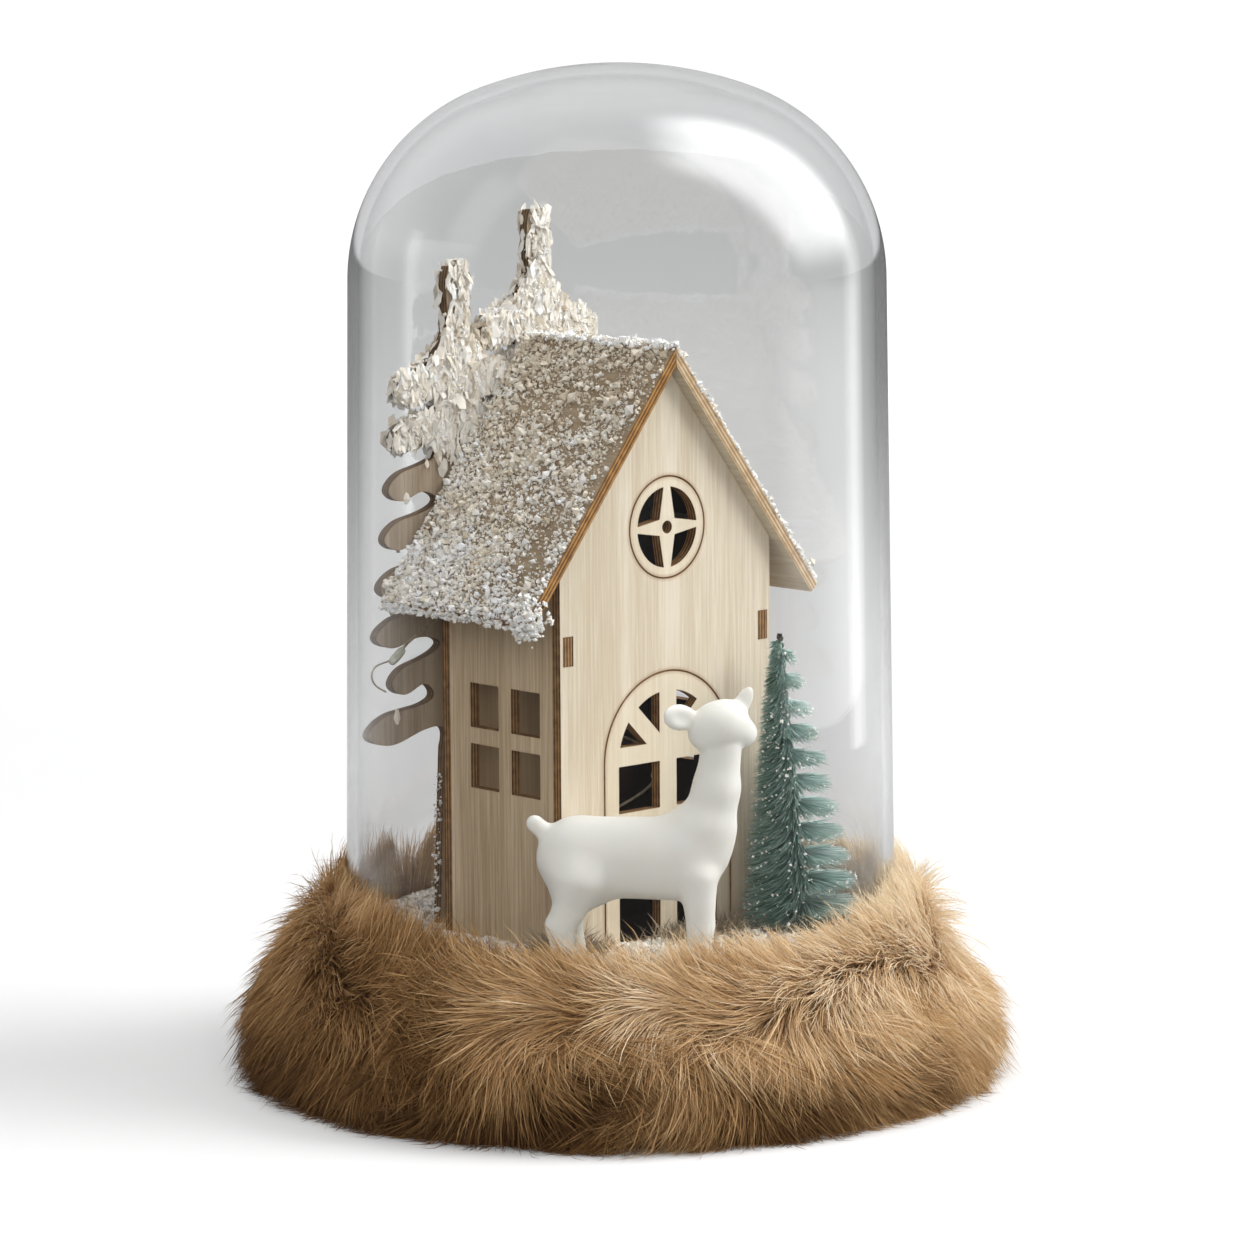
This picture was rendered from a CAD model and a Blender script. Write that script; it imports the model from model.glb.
import itertools
import math

import bpy
import numpy as np
import openvdb
from mathutils import Matrix, Vector


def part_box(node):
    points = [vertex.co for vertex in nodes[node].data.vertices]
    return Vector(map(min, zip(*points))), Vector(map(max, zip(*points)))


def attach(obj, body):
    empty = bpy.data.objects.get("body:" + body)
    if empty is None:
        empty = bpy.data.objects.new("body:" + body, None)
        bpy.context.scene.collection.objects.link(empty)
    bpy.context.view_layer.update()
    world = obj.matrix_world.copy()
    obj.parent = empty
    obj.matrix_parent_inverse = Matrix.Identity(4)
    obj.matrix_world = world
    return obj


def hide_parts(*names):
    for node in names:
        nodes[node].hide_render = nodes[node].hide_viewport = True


# A snow globe: a glass dome on a base with a long-haired fur trim, over a plywood house, two plywood firs,
# a bottle-brush tree and a white deer in granular snow. Shapes are worked out in millimetres and written
# to meshes in metres. +Z is up and the front of the house faces -Y.

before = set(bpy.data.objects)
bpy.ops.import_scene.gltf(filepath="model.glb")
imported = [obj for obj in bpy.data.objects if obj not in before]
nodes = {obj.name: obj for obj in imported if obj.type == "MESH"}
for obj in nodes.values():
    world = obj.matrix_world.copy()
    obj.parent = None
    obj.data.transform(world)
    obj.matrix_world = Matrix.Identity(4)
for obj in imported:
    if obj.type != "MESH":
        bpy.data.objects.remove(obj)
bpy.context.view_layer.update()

MM = 0.001
FULL_TURN = 2 * math.pi
BAKE_MAP = "OFBake"


# Places taken from the frame, in millimetres.

def corners_of(node):
    low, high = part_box(node)
    return np.array(low) / MM, np.array(high) / MM


base_high = corners_of("base_board")[1]
fur_low = corners_of("fur_trim")[0]
dome_low, dome_high = corners_of("glass_dome")
snow_high = corners_of("snow_bed")[1]
wall_low, wall_high = corners_of("house_front_wall")
back_high = corners_of("house_back_wall")[1]
side_low = corners_of("house_left_wall")[0]
roof_low, roof_high = corners_of("roof_left_panel")
stem_low, stem_high = corners_of("brush_tree_stem")

ply = wall_high[1] - wall_low[1]
base_top = base_high[2]
ground = snow_high[2]
dome_radius = dome_high[0]
house_x = (wall_low[0] + wall_high[0]) / 2
house_y = (wall_low[1] + back_high[1]) / 2
half_width = (wall_high[0] - wall_low[0]) / 2
half_depth = (back_high[1] - wall_low[1]) / 2

# The camera looks from the front left of the house. Directions on the floor, seen from there:
camera_azimuth = math.radians(-42.66)
to_right = np.array([math.cos(camera_azimuth), math.sin(camera_azimuth), 0.0])
to_viewer = np.array([math.sin(camera_azimuth), -math.cos(camera_azimuth), 0.0])
upward = np.array([0.0, 0.0, 1.0])


# Small maths helpers.

def normalised(vectors):
    lengths = np.linalg.norm(vectors, axis=-1, keepdims=True)
    return vectors / np.maximum(lengths, 1e-9)


def even_angles(count):
    return np.linspace(0, FULL_TURN, count, endpoint=False)


def round_axis(angle, radius=1.0, height=0.0):
    """Points at the given angles round the Z axis."""
    return np.stack(np.broadcast_arrays(radius * np.cos(angle), radius * np.sin(angle), height), axis=-1)


def smooth_noise(points, size, seed):
    """Value noise from 0 to 1 at each point, with lumps of the given size."""
    cells = points / size
    corner = np.floor(cells).astype(np.int64)
    part = cells - corner
    part = part * part * (3 - 2 * part)
    primes = np.array([73856093, 19349663, 83492791])[:points.shape[1]]
    total = np.zeros(len(points))
    for offset in itertools.product((0, 1), repeat=points.shape[1]):
        offset = np.array(offset)
        key = (corner + offset) @ primes + seed * 2654435761
        key = (key ^ (key >> 13)) * 1274126177
        key = (key ^ (key >> 16)) & 0xFFFF
        weight = np.prod(np.where(offset, part, 1 - part), axis=1)
        total += weight * key / 0xFFFF
    return total


def layered_noise(points, size, seed):
    """Two octaves of value noise, from 0 to 1."""
    return smooth_noise(points, size, seed) * 0.65 + smooth_noise(points, size / 2.3, seed + 7) * 0.35


def along_profile(profile, share):
    """Point and outward normal at each share, from 0 to 1, of the length of a (radius, height) profile."""
    steps = np.diff(profile, axis=0)
    lengths = np.concatenate([[0], np.cumsum(np.linalg.norm(steps, axis=1))])
    where = share * lengths[-1]
    reach = lengths[-1] * 0.02

    def at(distance):
        return np.stack([np.interp(distance, lengths, profile[:, axis]) for axis in (0, 1)], axis=1)

    tangent = normalised(at(where + reach) - at(where - reach))
    normal = np.stack([-tangent[:, 1], tangent[:, 0]], axis=1)
    return at(where), normal


def arc(centre, radius, start, end, steps):
    angles = np.radians(np.linspace(start, end, steps))
    return np.stack([centre[0] + radius * np.cos(angles), centre[1] + radius * np.sin(angles)], axis=1)


def curve_through(points, steps=12):
    """Smooth path through a few points, by Catmull-Rom spans."""
    padded = np.concatenate([2 * points[:1] - points[1:2], points, 2 * points[-1:] - points[-2:-1]])
    part = np.linspace(0, 1, steps, endpoint=False)[:, None]
    spans = []
    for start in range(len(points) - 1):
        a, b, c, d = padded[start:start + 4]
        spans.append(0.5 * (
            2 * b + (c - a) * part + (2 * a - 5 * b + 4 * c - d) * part ** 2
            + (3 * b - a - 3 * c + d) * part ** 3
        ))
    return np.concatenate(spans + [points[-1:]])


# Shapes: points in millimetres, a list of face groups and, where a texture follows them, their bake map.

def new_piece(name, shape, material, smooth=False, body="root", replaces=None):
    """Object from a shape. Every face group is an array whose faces have the same number of corners."""
    points, face_groups = shape[:2]
    mesh = bpy.data.meshes.new(name)
    corners = np.concatenate([group.ravel() for group in face_groups]).astype(np.int32)
    totals = np.concatenate([np.full(len(group), group.shape[1]) for group in face_groups])
    starts = np.concatenate([[0], np.cumsum(totals)[:-1]]).astype(np.int32)
    mesh.vertices.add(len(points))
    mesh.vertices.foreach_set("co", (np.asarray(points) * MM).astype(np.float32).ravel())
    mesh.loops.add(len(corners))
    mesh.loops.foreach_set("vertex_index", corners)
    mesh.polygons.add(len(totals))
    mesh.polygons.foreach_set("loop_start", starts)
    for bake_map in shape[2:]:
        layer = mesh.uv_layers.new(name=BAKE_MAP)
        layer.data.foreach_set("uv", bake_map[corners].astype(np.float32).ravel())
    mesh.update(calc_edges=True)
    if smooth:
        mesh.shade_smooth()
    else:
        mesh.shade_flat()
    mesh.materials.append(material)
    piece = bpy.data.objects.new(name, mesh)
    bpy.context.scene.collection.objects.link(piece)
    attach(piece, body)
    if replaces is not None:
        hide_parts(replaces)
    return piece


def bake_modifiers(piece):
    """Replace the object's mesh by its modified mesh."""
    graph = bpy.context.evaluated_depsgraph_get()
    mesh = bpy.data.meshes.new_from_object(piece.evaluated_get(graph))
    piece.modifiers.clear()
    piece.data = mesh


def merge_close(piece):
    """Join points that lie on one another, such as those where a lathed profile meets its axis."""
    weld = piece.modifiers.new("weld", "WELD")
    weld.merge_threshold = 0.001 * MM
    bake_modifiers(piece)


def ring_grid(points, inside_out=False):
    """Shape of a grid of points (row, column, axis) whose rows close into rings."""
    rows, columns = points.shape[:2]
    row, column = np.meshgrid(np.arange(rows - 1), np.arange(columns), indexing="ij")
    after = (column + 1) % columns
    here, there = row * columns, (row + 1) * columns
    quads = np.stack([here + column, here + after, there + after, there + column], axis=2)
    if inside_out:
        quads = quads[..., [0, 3, 2, 1]]
    return points.reshape(-1, 3), [quads.reshape(-1, 4)]


def lathe(profile, segments=160):
    """Shape of a profile, in the (radius, height) plane, turned round the Z axis."""
    return ring_grid(round_axis(even_angles(segments), profile[:, :1], profile[:, 1:]))


def joined(shapes):
    """One shape from several."""
    faces = []
    count = 0
    for points, groups in shapes:
        faces += [group + count for group in groups]
        count += len(points)
    return np.concatenate([points for points, _ in shapes]), faces


def bake_places(tones, others):
    """Bake map, just inside its edges, from two values between 0 and 1."""
    return 0.02 + 0.96 * np.clip(np.stack(np.broadcast_arrays(tones, others), axis=-1), 0, 1).reshape(-1, 2)


def blades(curves, widths, tones, rng):
    """Shape of one tapered blade along each curve. curves is (blade, level, axis)."""
    count, levels = curves.shape[:2]
    facing = normalised(rng.normal(size=(count, 1, 3)))
    side = normalised(np.cross(np.gradient(curves, axis=1), facing))
    taper = np.sqrt(1 - np.linspace(0, 1, levels) ** 2 * 0.85)
    half = side * (widths[:, None] * taper[None, :])[:, :, None] / 2
    pairs = np.stack([(curves - half)[:, :-1], (curves + half)[:, :-1]], axis=2)
    points = np.concatenate([pairs.reshape(count, -1, 3), curves[:, -1:]], axis=1)
    first = (np.arange(count) * points.shape[1])[:, None]
    level = np.arange(levels - 2)[None, :] * 2
    quads = np.stack([first + level, first + level + 1, first + level + 3, first + level + 2], axis=2)
    last = first + (levels - 2) * 2
    tips = np.concatenate([last, last + 1, last + 2], axis=1)
    share = np.append(np.repeat(np.arange(levels - 1), 2), levels - 1) / (levels - 1)
    return points.reshape(-1, 3), [quads.reshape(-1, 4), tips], bake_places(tones[:, None], share[None, :])


OCTAHEDRON = np.array([[1, 0, 0], [-1, 0, 0], [0, 1, 0], [0, -1, 0], [0, 0, 1], [0, 0, -1]], dtype=float)
OCTAHEDRON_FACES = np.array([
    [0, 2, 4], [2, 1, 4], [1, 3, 4], [3, 0, 4], [2, 0, 5], [1, 2, 5], [3, 1, 5], [0, 3, 5],
])


def granules(places, sizes, tones, rng):
    """Shape of one rough crystal at each place."""
    count = len(places)
    axes = np.linalg.qr(rng.normal(size=(count, 3, 3)))[0]
    stretch = rng.uniform(0.55, 1.25, size=(count, 1, 3))
    bumps = rng.uniform(0.75, 1.25, size=(count, 6, 1))
    crystals = OCTAHEDRON[None] * bumps * stretch * sizes[:, None, None] / 2
    points = crystals @ axes + places[:, None, :]
    faces = OCTAHEDRON_FACES[None] + (np.arange(count) * 6)[:, None, None]
    bake_map = bake_places(np.repeat(tones, 6), np.repeat(rng.uniform(0, 1, count), 6))
    return points.reshape(-1, 3), [faces.reshape(-1, 3)], bake_map


def flakes(places, normals, sizes, tones, rng):
    """Shape of one crumpled upright flake at each place, lying against the surface."""
    count = len(places)
    sides = 6
    stretch = 2.4
    tilt = normalised(normals + rng.normal(scale=0.24, size=(count, 3)))
    tall = upward + rng.normal(scale=0.3, size=(count, 3))
    tall = normalised(tall - tilt * np.sum(tall * tilt, axis=1, keepdims=True))
    across = np.cross(tilt, tall)
    angles = even_angles(sides)[None, :, None]
    reach = rng.uniform(0.5, 1.25, size=(count, sides, 1)) * sizes[:, None, None] / 2
    curl = rng.normal(scale=0.08, size=(count, sides, 1)) * sizes[:, None, None]
    rim = across[:, None] * np.cos(angles) + tall[:, None] * np.sin(angles) * stretch
    rim = places[:, None] + rim * reach + tilt[:, None] * curl
    centre = places + tilt * (sizes * 0.12)[:, None]
    points = np.concatenate([centre[:, None], rim], axis=1)
    first = (np.arange(count) * (sides + 1))[:, None]
    corner = np.arange(sides)[None, :]
    faces = np.stack([first + corner * 0, first + 1 + corner, first + 1 + (corner + 1) % sides], axis=2)
    bake_map = bake_places(np.repeat(tones, sides + 1), np.repeat(rng.uniform(0, 1, count), sides + 1))
    return points.reshape(-1, 3), [faces.reshape(-1, 3)], bake_map


def tube(path, radius, sides=8):
    """Shape of a round tube along a path of points, with one radius or one for each point."""
    tangent = normalised(np.gradient(path, axis=0))
    across = normalised(np.cross(tangent, upward + 0.001))
    for step in range(1, len(path)):
        carried = across[step - 1] - tangent[step] * (across[step - 1] @ tangent[step])
        across[step] = carried / np.linalg.norm(carried)
    other = np.cross(tangent, across)
    angles = even_angles(sides)[None, :, None]
    radius = np.broadcast_to(radius, len(path))[:, None, None]
    rings = across[:, None, :] * np.cos(angles) + other[:, None, :] * np.sin(angles)
    return ring_grid(path[:, None, :] + radius * rings)


def surface_points(node, count, rng):
    """Random places on a CAD node's surface, and the surface's normal there."""
    mesh = nodes[node].data
    mesh.calc_loop_triangles()
    triangles = np.empty(len(mesh.loop_triangles) * 3, dtype=np.int32)
    mesh.loop_triangles.foreach_get("vertices", triangles)
    vertices = np.empty(len(mesh.vertices) * 3, dtype=np.float32)
    mesh.vertices.foreach_get("co", vertices)
    a, b, c = (vertices.reshape(-1, 3) / MM)[triangles.reshape(-1, 3)].transpose(1, 0, 2)
    cross = np.cross(b - a, c - a)
    area = np.linalg.norm(cross, axis=1)
    chosen = rng.choice(len(area), size=count, p=area / area.sum())
    first = np.sqrt(rng.uniform(size=(count, 1)))
    second = rng.uniform(size=(count, 1))
    places = a[chosen] * (1 - first) + b[chosen] * first * (1 - second) + c[chosen] * first * second
    return places, normalised(cross[chosen])


# Material helpers.

class Shader:
    """A node material, or a world, that is built one node at a time."""

    def __init__(self, name, world=False):
        holder = bpy.data.worlds if world else bpy.data.materials
        self.material = holder.new(name)
        self.material.use_nodes = True
        self.tree = self.material.node_tree
        self.tree.nodes.clear()
        self.output = self.tree.nodes.new("ShaderNodeOutputWorld" if world else "ShaderNodeOutputMaterial")

    def set_input(self, socket, value):
        if isinstance(value, bpy.types.NodeSocket):
            self.tree.links.new(value, socket)
        elif socket.type == "RGBA" and len(value) == 3:
            socket.default_value = (*value, 1)
        else:
            socket.default_value = value

    def node(self, kind, settings=None, inputs=None):
        item = self.tree.nodes.new("ShaderNode" + kind)
        for key, value in (settings or {}).items():
            setattr(item, key, value)
        for key, value in (inputs or {}).items():
            self.set_input(item.inputs[key], value)
        return item

    def place(self, scale=1.0):
        """Object coordinates in millimetres, times one scale or one for each axis."""
        coordinates = self.node("TexCoord").outputs["Object"]
        scales = tuple(np.broadcast_to(scale, 3) / MM)
        return self.node("Mapping", inputs={"Vector": coordinates, "Scale": scales}).outputs["Vector"]

    def parts(self, vector):
        return self.node("SeparateXYZ", inputs={"Vector": vector}).outputs

    def along(self, vector, axis):
        item = self.node("VectorMath", {"operation": "DOT_PRODUCT"}, {0: vector, 1: tuple(axis)})
        return item.outputs["Value"]

    def bake_map(self):
        return self.parts(self.node("UVMap", {"uv_map": BAKE_MAP}).outputs["UV"])[:2]

    def noise(self, scale, detail=3, roughness=0.55):
        return self.node("TexNoise", inputs={
            "Vector": self.place(scale), "Scale": 1.0, "Detail": detail, "Roughness": roughness,
        }).outputs["Fac"]

    def maths(self, operation, first, second=0.0, clamp=False):
        settings = {"operation": operation, "use_clamp": clamp}
        return self.node("Math", settings, {0: first, 1: second}).outputs[0]

    def times(self, first, second):
        return self.maths("MULTIPLY", first, second)

    def apart(self, first, second=0.0):
        """Distance between two numbers."""
        return self.maths("ABSOLUTE", self.maths("SUBTRACT", first, second))

    def between(self, value, low, high, start=0.0, end=1.0):
        return self.node("MapRange", {"interpolation_type": "SMOOTHSTEP"}, {
            "Value": value, "From Min": low, "From Max": high, "To Min": start, "To Max": end,
        }).outputs["Result"]

    def mix(self, factor, first, second, blend="MIX"):
        settings = {"data_type": "RGBA", "blend_type": blend}
        return self.node("Mix", settings, {0: factor, 6: first, 7: second}).outputs[2]

    def ramp(self, factor, stops):
        item = self.node("ValToRGB", inputs={"Fac": factor})
        elements = item.color_ramp.elements
        while len(elements) < len(stops):
            elements.new(0.5)
        for element, (position, colour) in zip(elements, stops):
            element.position = position
            element.color = (*colour, 1)
        return item.outputs["Color"]

    def bump(self, height, distance):
        return self.node("Bump", inputs={
            "Height": height, "Distance": distance * MM, "Strength": 1.0,
        }).outputs["Normal"]

    def seen_directly(self):
        """1 for what the camera sees, also straight through glass, and 0 for mirrored or bounced light."""
        path = self.node("LightPath").outputs
        bounces = self.maths("ADD", path["Diffuse Depth"], path["Glossy Depth"])
        return self.maths("SUBTRACT", 1.0, bounces, clamp=True)

    def principled(self, **inputs):
        names = {key.replace("_", " "): value for key, value in inputs.items()}
        return self.node("BsdfPrincipled", inputs=names).outputs["BSDF"]

    def white_glow(self, strength):
        return self.node("Emission", inputs={"Color": (1, 1, 1), "Strength": strength}).outputs["Emission"]

    def both(self, kind, *inputs):
        """Two surfaces mixed, by a factor that comes first, or added."""
        return self.node(kind, inputs=dict(enumerate(inputs))).outputs[0]

    def done(self, surface=None, **inputs):
        """The finished material, from a surface or from the inputs of a principled one."""
        if surface is None:
            surface = self.principled(**inputs)
        self.tree.links.new(surface, self.output.inputs["Surface"])
        return self.material


def srgb(red, green, blue):
    """Linear colour from the usual 0 to 255 screen values."""
    def linear(value):
        value /= 255
        return value / 12.92 if value <= 0.04045 else ((value + 0.055) / 1.055) ** 2.4
    return linear(red), linear(green), linear(blue)


def dress(node, material):
    """Give a CAD node a material and leave its mesh alone."""
    for item in nodes[node].material_slots:
        item.material = material


# Materials.

def glass_material():
    shader = Shader("dome_glass")
    facing = shader.node("LayerWeight", inputs={"Blend": 0.5}).outputs["Facing"]
    rise = shader.between(shader.parts(shader.place())["Z"], ground, dome_high[2])
    clear = shader.mix(rise, srgb(252, 252, 252), srgb(246, 247, 247))
    tint = shader.mix(shader.between(facing, 0.6, 1.0), clear, srgb(206, 209, 210))
    waves = shader.bump(shader.noise((0.03, 0.03, 0.012)), 0.04)
    glass = shader.principled(Base_Color=tint, Roughness=0.0, IOR=1.47, Transmission_Weight=1.0, Normal=waves)
    through = shader.node("BsdfTransparent", inputs={"Color": srgb(247, 247, 247)}).outputs["BSDF"]
    shadow = shader.node("LightPath").outputs["Is Shadow Ray"]
    return shader.done(shader.both("MixShader", shadow, glass, through))


def fur_material():
    """Tone runs across the bake map from dark to light hair, and the height runs from root to tip."""
    shader = Shader("fur_pile")
    tone, share = shader.bake_map()
    tip = shader.ramp(tone, [
        (0.0, srgb(92, 64, 36)),
        (0.25, srgb(148, 112, 70)),
        (0.5, srgb(196, 158, 110)),
        (0.75, srgb(230, 202, 160)),
        (1.0, srgb(248, 234, 208)),
    ])
    root = shader.ramp(tone, [
        (0.0, srgb(70, 46, 28)), (0.5, srgb(160, 122, 84)), (1.0, srgb(216, 184, 142)),
    ])
    colour = shader.mix(shader.between(share, 0.0, 0.75), root, tip)
    hair = shader.principled(Base_Color=colour, Roughness=0.55, Specular_IOR_Level=0.25)
    glow = shader.node("BsdfTranslucent", inputs={"Color": colour}).outputs["BSDF"]
    return shader.done(shader.both("MixShader", 0.22, hair, glow))


def hide_material():
    shader = Shader("fur_backing")
    colour = shader.ramp(shader.noise(0.15, 5), [(0.3, srgb(96, 70, 44)), (0.7, srgb(150, 118, 82))])
    return shader.done(Base_Color=colour, Roughness=0.95, Normal=shader.bump(shader.noise(1.5), 0.4))


def granule_material():
    shader = Shader("snow_granules")
    tone, other = shader.bake_map()
    colour = shader.ramp(tone, [
        (0.0, srgb(170, 150, 124)),
        (0.3, srgb(216, 202, 180)),
        (0.6, srgb(240, 232, 218)),
        (0.85, srgb(247, 245, 241)),
        (1.0, srgb(248, 250, 253)),
    ])
    return shader.done(
        Base_Color=colour, Roughness=shader.between(other, 0.0, 1.0, 0.35, 0.7),
        Subsurface_Weight=0.15, Subsurface_Radius=(1, 1, 1), Subsurface_Scale=0.5 * MM,
    )


def indoors(shader):
    """1 within the house, up to the inner faces of its walls, and 0 outside."""
    parts = shader.parts(shader.place())
    masks = []
    for axis, middle, half in (("X", house_x, half_width), ("Y", house_y, half_depth)):
        inner = half - ply
        masks.append(shader.between(shader.apart(parts[axis], middle), inner + 0.1, inner + 0.3, 1.0, 0.0))
    return shader.times(*masks)


def snow_bed_material():
    shader = Shader("snow_bed")
    grain = shader.noise(1.6, 5, 0.7)
    pale = shader.ramp(grain, [(0.25, srgb(176, 170, 160)), (0.6, srgb(226, 222, 214))])
    dusty = shader.ramp(grain, [(0.25, srgb(124, 108, 88)), (0.6, srgb(190, 176, 156))])
    colour = shader.mix(shader.between(shader.noise(0.09), 0.45, 0.65), pale, dusty)
    colour = shader.mix(indoors(shader), colour, srgb(58, 44, 30))
    return shader.done(Base_Color=colour, Roughness=0.85, Normal=shader.bump(grain, 0.6))


def ply_material(name, axis, veneer_pair, edge_pair, grain=(0.75, 0.75, 0.02), lines=None):
    """Plywood with its faces across an axis, browned where a laser has cut through its thickness.

    The grain runs along the axis with the smallest scale. What faces into the house is shaded, more so on the
    right, away from the side windows that the light comes through. lines is a function that returns three
    masks: engraved lines, the scorched band beside them and the panels that they enclose.
    """
    shader = Shader(name)
    face, streak = veneer_pair
    fine = shader.noise(np.multiply(grain, 2.2), 4, 0.6)
    broad = shader.noise(np.multiply(grain, 0.28), 2, 0.5)
    figure = shader.maths("ADD", shader.times(fine, 0.6), shader.times(broad, 0.4))
    veneer = shader.mix(shader.between(figure, 0.36, 0.66), streak, face)
    normal = shader.node("TexCoord").outputs["Normal"]
    cut = shader.between(shader.apart(shader.along(normal, axis)), 0.5, 0.8, 1.0, 0.0)
    ply_turn = 7.5
    plies = shader.maths("SINE", shader.times(shader.along(shader.place(), axis), ply_turn))
    layers = shader.maths("ADD", shader.times(plies, 0.3), shader.noise(0.5))
    edge = shader.mix(shader.between(layers, 0.2, 0.9), *edge_pair)
    corner = shader.node("AmbientOcclusion", {"samples": 6, "inside": True, "only_local": True},
                         {"Distance": 0.6 * MM})
    halo = shader.between(corner.outputs["AO"], 0.2, 0.9, 0.6, 0.0)
    scorched = shader.mix(0.6, veneer, srgb(190, 140, 86), "MULTIPLY")
    surface = shader.mix(halo, veneer, scorched)
    if lines is not None:
        line, band, panel = lines(shader)
        surface = shader.mix(shader.times(panel, 0.35), surface, srgb(246, 234, 208))
        surface = shader.mix(shader.times(band, 0.6), surface, scorched)
        surface = shader.mix(line, surface, srgb(120, 85, 47))
    not_upward = shader.between(shader.along(normal, upward), 0.3, 0.5, 1.0, 0.0)
    reach = 14
    from_left = shader.between(shader.parts(shader.place())["X"], house_x - reach, house_x + reach)
    shade = shader.mix(from_left, srgb(250, 232, 206), srgb(48, 33, 19))
    shaded = shader.mix(1.0, surface, shade, "MULTIPLY")
    surface = shader.mix(shader.times(indoors(shader), not_upward), surface, shaded)
    surface = shader.mix(cut, surface, edge)
    return shader.done(
        Base_Color=surface, Roughness=0.62, Specular_IOR_Level=0.3, Normal=shader.bump(fine, 0.08),
    )


def front_wall_lines(shader):
    """Masks of the window's and door's outlines, of the scorched band beside them and of what they hold."""
    ring_height = 120.0
    ring_radius = 11.0
    door_half = 18.7
    door_spring = 70.1
    parts = shader.parts(shader.place())
    across = shader.maths("SUBTRACT", parts["X"], house_x)
    height = parts["Z"]

    def outline(first, second, radius):
        squares = shader.maths("ADD", shader.maths("POWER", first, 2.0), shader.maths("POWER", second, 2.0))
        return shader.maths("SUBTRACT", shader.maths("SQRT", squares), radius)

    ring = outline(across, shader.maths("SUBTRACT", height, ring_height), ring_radius)
    above_spring = shader.maths("MAXIMUM", shader.maths("SUBTRACT", height, door_spring), 0.0)
    door = outline(shader.apart(across), above_spring, door_half)
    nearest = shader.maths("MINIMUM", shader.apart(ring), shader.apart(door))
    nearest = shader.maths("ADD", nearest, shader.times(shader.noise(0.4, 2), 0.12))
    panel = shader.between(shader.maths("MINIMUM", ring, door), -0.4, 0.0, 1.0, 0.0)
    return shader.between(nearest, 0.2, 0.3, 1.0, 0.0), shader.between(nearest, 0.25, 1.2, 1.0, 0.0), panel


def bisque_material():
    shader = Shader("bisque")
    speck = shader.noise(2.5, 4, 0.7)
    colour = shader.ramp(shader.noise(0.12), [(0.3, srgb(244, 242, 233)), (0.7, srgb(250, 249, 242))])
    return shader.done(
        Base_Color=colour, Roughness=shader.between(speck, 0.3, 0.7, 0.5, 0.65), Specular_IOR_Level=0.35,
        Normal=shader.bump(speck, 0.02), Subsurface_Weight=0.2, Subsurface_Radius=(1.0, 0.9, 0.8),
        Subsurface_Scale=1.0 * MM,
    )


def bristle_material():
    shader = Shader("bristles")
    tone, share = shader.bake_map()
    colour = shader.ramp(tone, [
        (0.0, srgb(66, 108, 84)),
        (0.3, srgb(130, 166, 156)),
        (0.65, srgb(186, 212, 206)),
        (1.0, srgb(226, 236, 233)),
    ])
    frosted = shader.mix(shader.between(share, 0.55, 1.0, 0.0, 0.4), colour, srgb(202, 216, 208))
    return shader.done(Base_Color=frosted, Roughness=0.6, Specular_IOR_Level=0.2)


def straw_material():
    shader = Shader("dry_grass")
    tone, share = shader.bake_map()
    colour = shader.ramp(tone, [
        (0.0, srgb(92, 78, 66)), (0.5, srgb(150, 132, 108)), (1.0, srgb(206, 192, 166)),
    ])
    faded = shader.mix(shader.between(share, 0.4, 1.0, 0.0, 0.4), colour, srgb(214, 204, 188))
    return shader.done(Base_Color=faded, Roughness=0.8)


def metal_material(name, colour, roughness, grain):
    """Metal with fine drawing marks that follow the grain scale."""
    shader = Shader(name)
    marks = shader.noise(grain, 4, 0.6)
    shade = tuple(value * 0.72 for value in colour)
    tinted = shader.mix(shader.between(marks, 0.3, 0.7), shade, colour)
    rough = shader.between(marks, 0.2, 0.8, roughness * 0.8, roughness * 1.3)
    return shader.done(Base_Color=tinted, Metallic=1.0, Roughness=rough, Normal=shader.bump(marks, 0.02))


def plastic_material(name, colour, roughness):
    """Moulded plastic with a fine spark-eroded texture."""
    shader = Shader(name)
    wear = shader.noise(0.12, 4)
    lighter = tuple(value * 1.6 + 0.006 for value in colour)
    tinted = shader.mix(shader.between(wear, 0.35, 0.75), colour, lighter)
    rough = shader.between(wear, 0.2, 0.8, roughness * 0.85, roughness * 1.1)
    return shader.done(Base_Color=tinted, Roughness=rough, Normal=shader.bump(shader.noise(3, 3, 0.6), 0.03))


def felt_material():
    shader = Shader("felt")
    fibres = shader.noise(2.4, 6, 0.75)
    green = shader.ramp(fibres, [(0.3, srgb(34, 48, 38)), (0.7, srgb(84, 100, 84))])
    colour = shader.mix(shader.between(shader.noise(0.1), 0.4, 0.7, 0.0, 0.25), green, srgb(108, 118, 100))
    return shader.done(
        Base_Color=colour, Roughness=0.97, Specular_IOR_Level=0.1, Normal=shader.bump(fibres, 0.35),
    )


def base_wood_material():
    """Turned board with straight grain along X."""
    shader = Shader("base_wood")
    fine = shader.noise((0.06, 1.6, 1.6), 5, 0.6)
    broad = shader.noise((0.01, 0.14, 0.14))
    figure = shader.maths("ADD", shader.times(fine, 0.55), shader.times(broad, 0.45))
    colour = shader.ramp(figure, [
        (0.3, srgb(126, 86, 52)), (0.5, srgb(178, 134, 90)), (0.7, srgb(204, 166, 122)),
    ])
    return shader.done(Base_Color=colour, Roughness=0.5, Normal=shader.bump(fine, 0.1))


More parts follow.
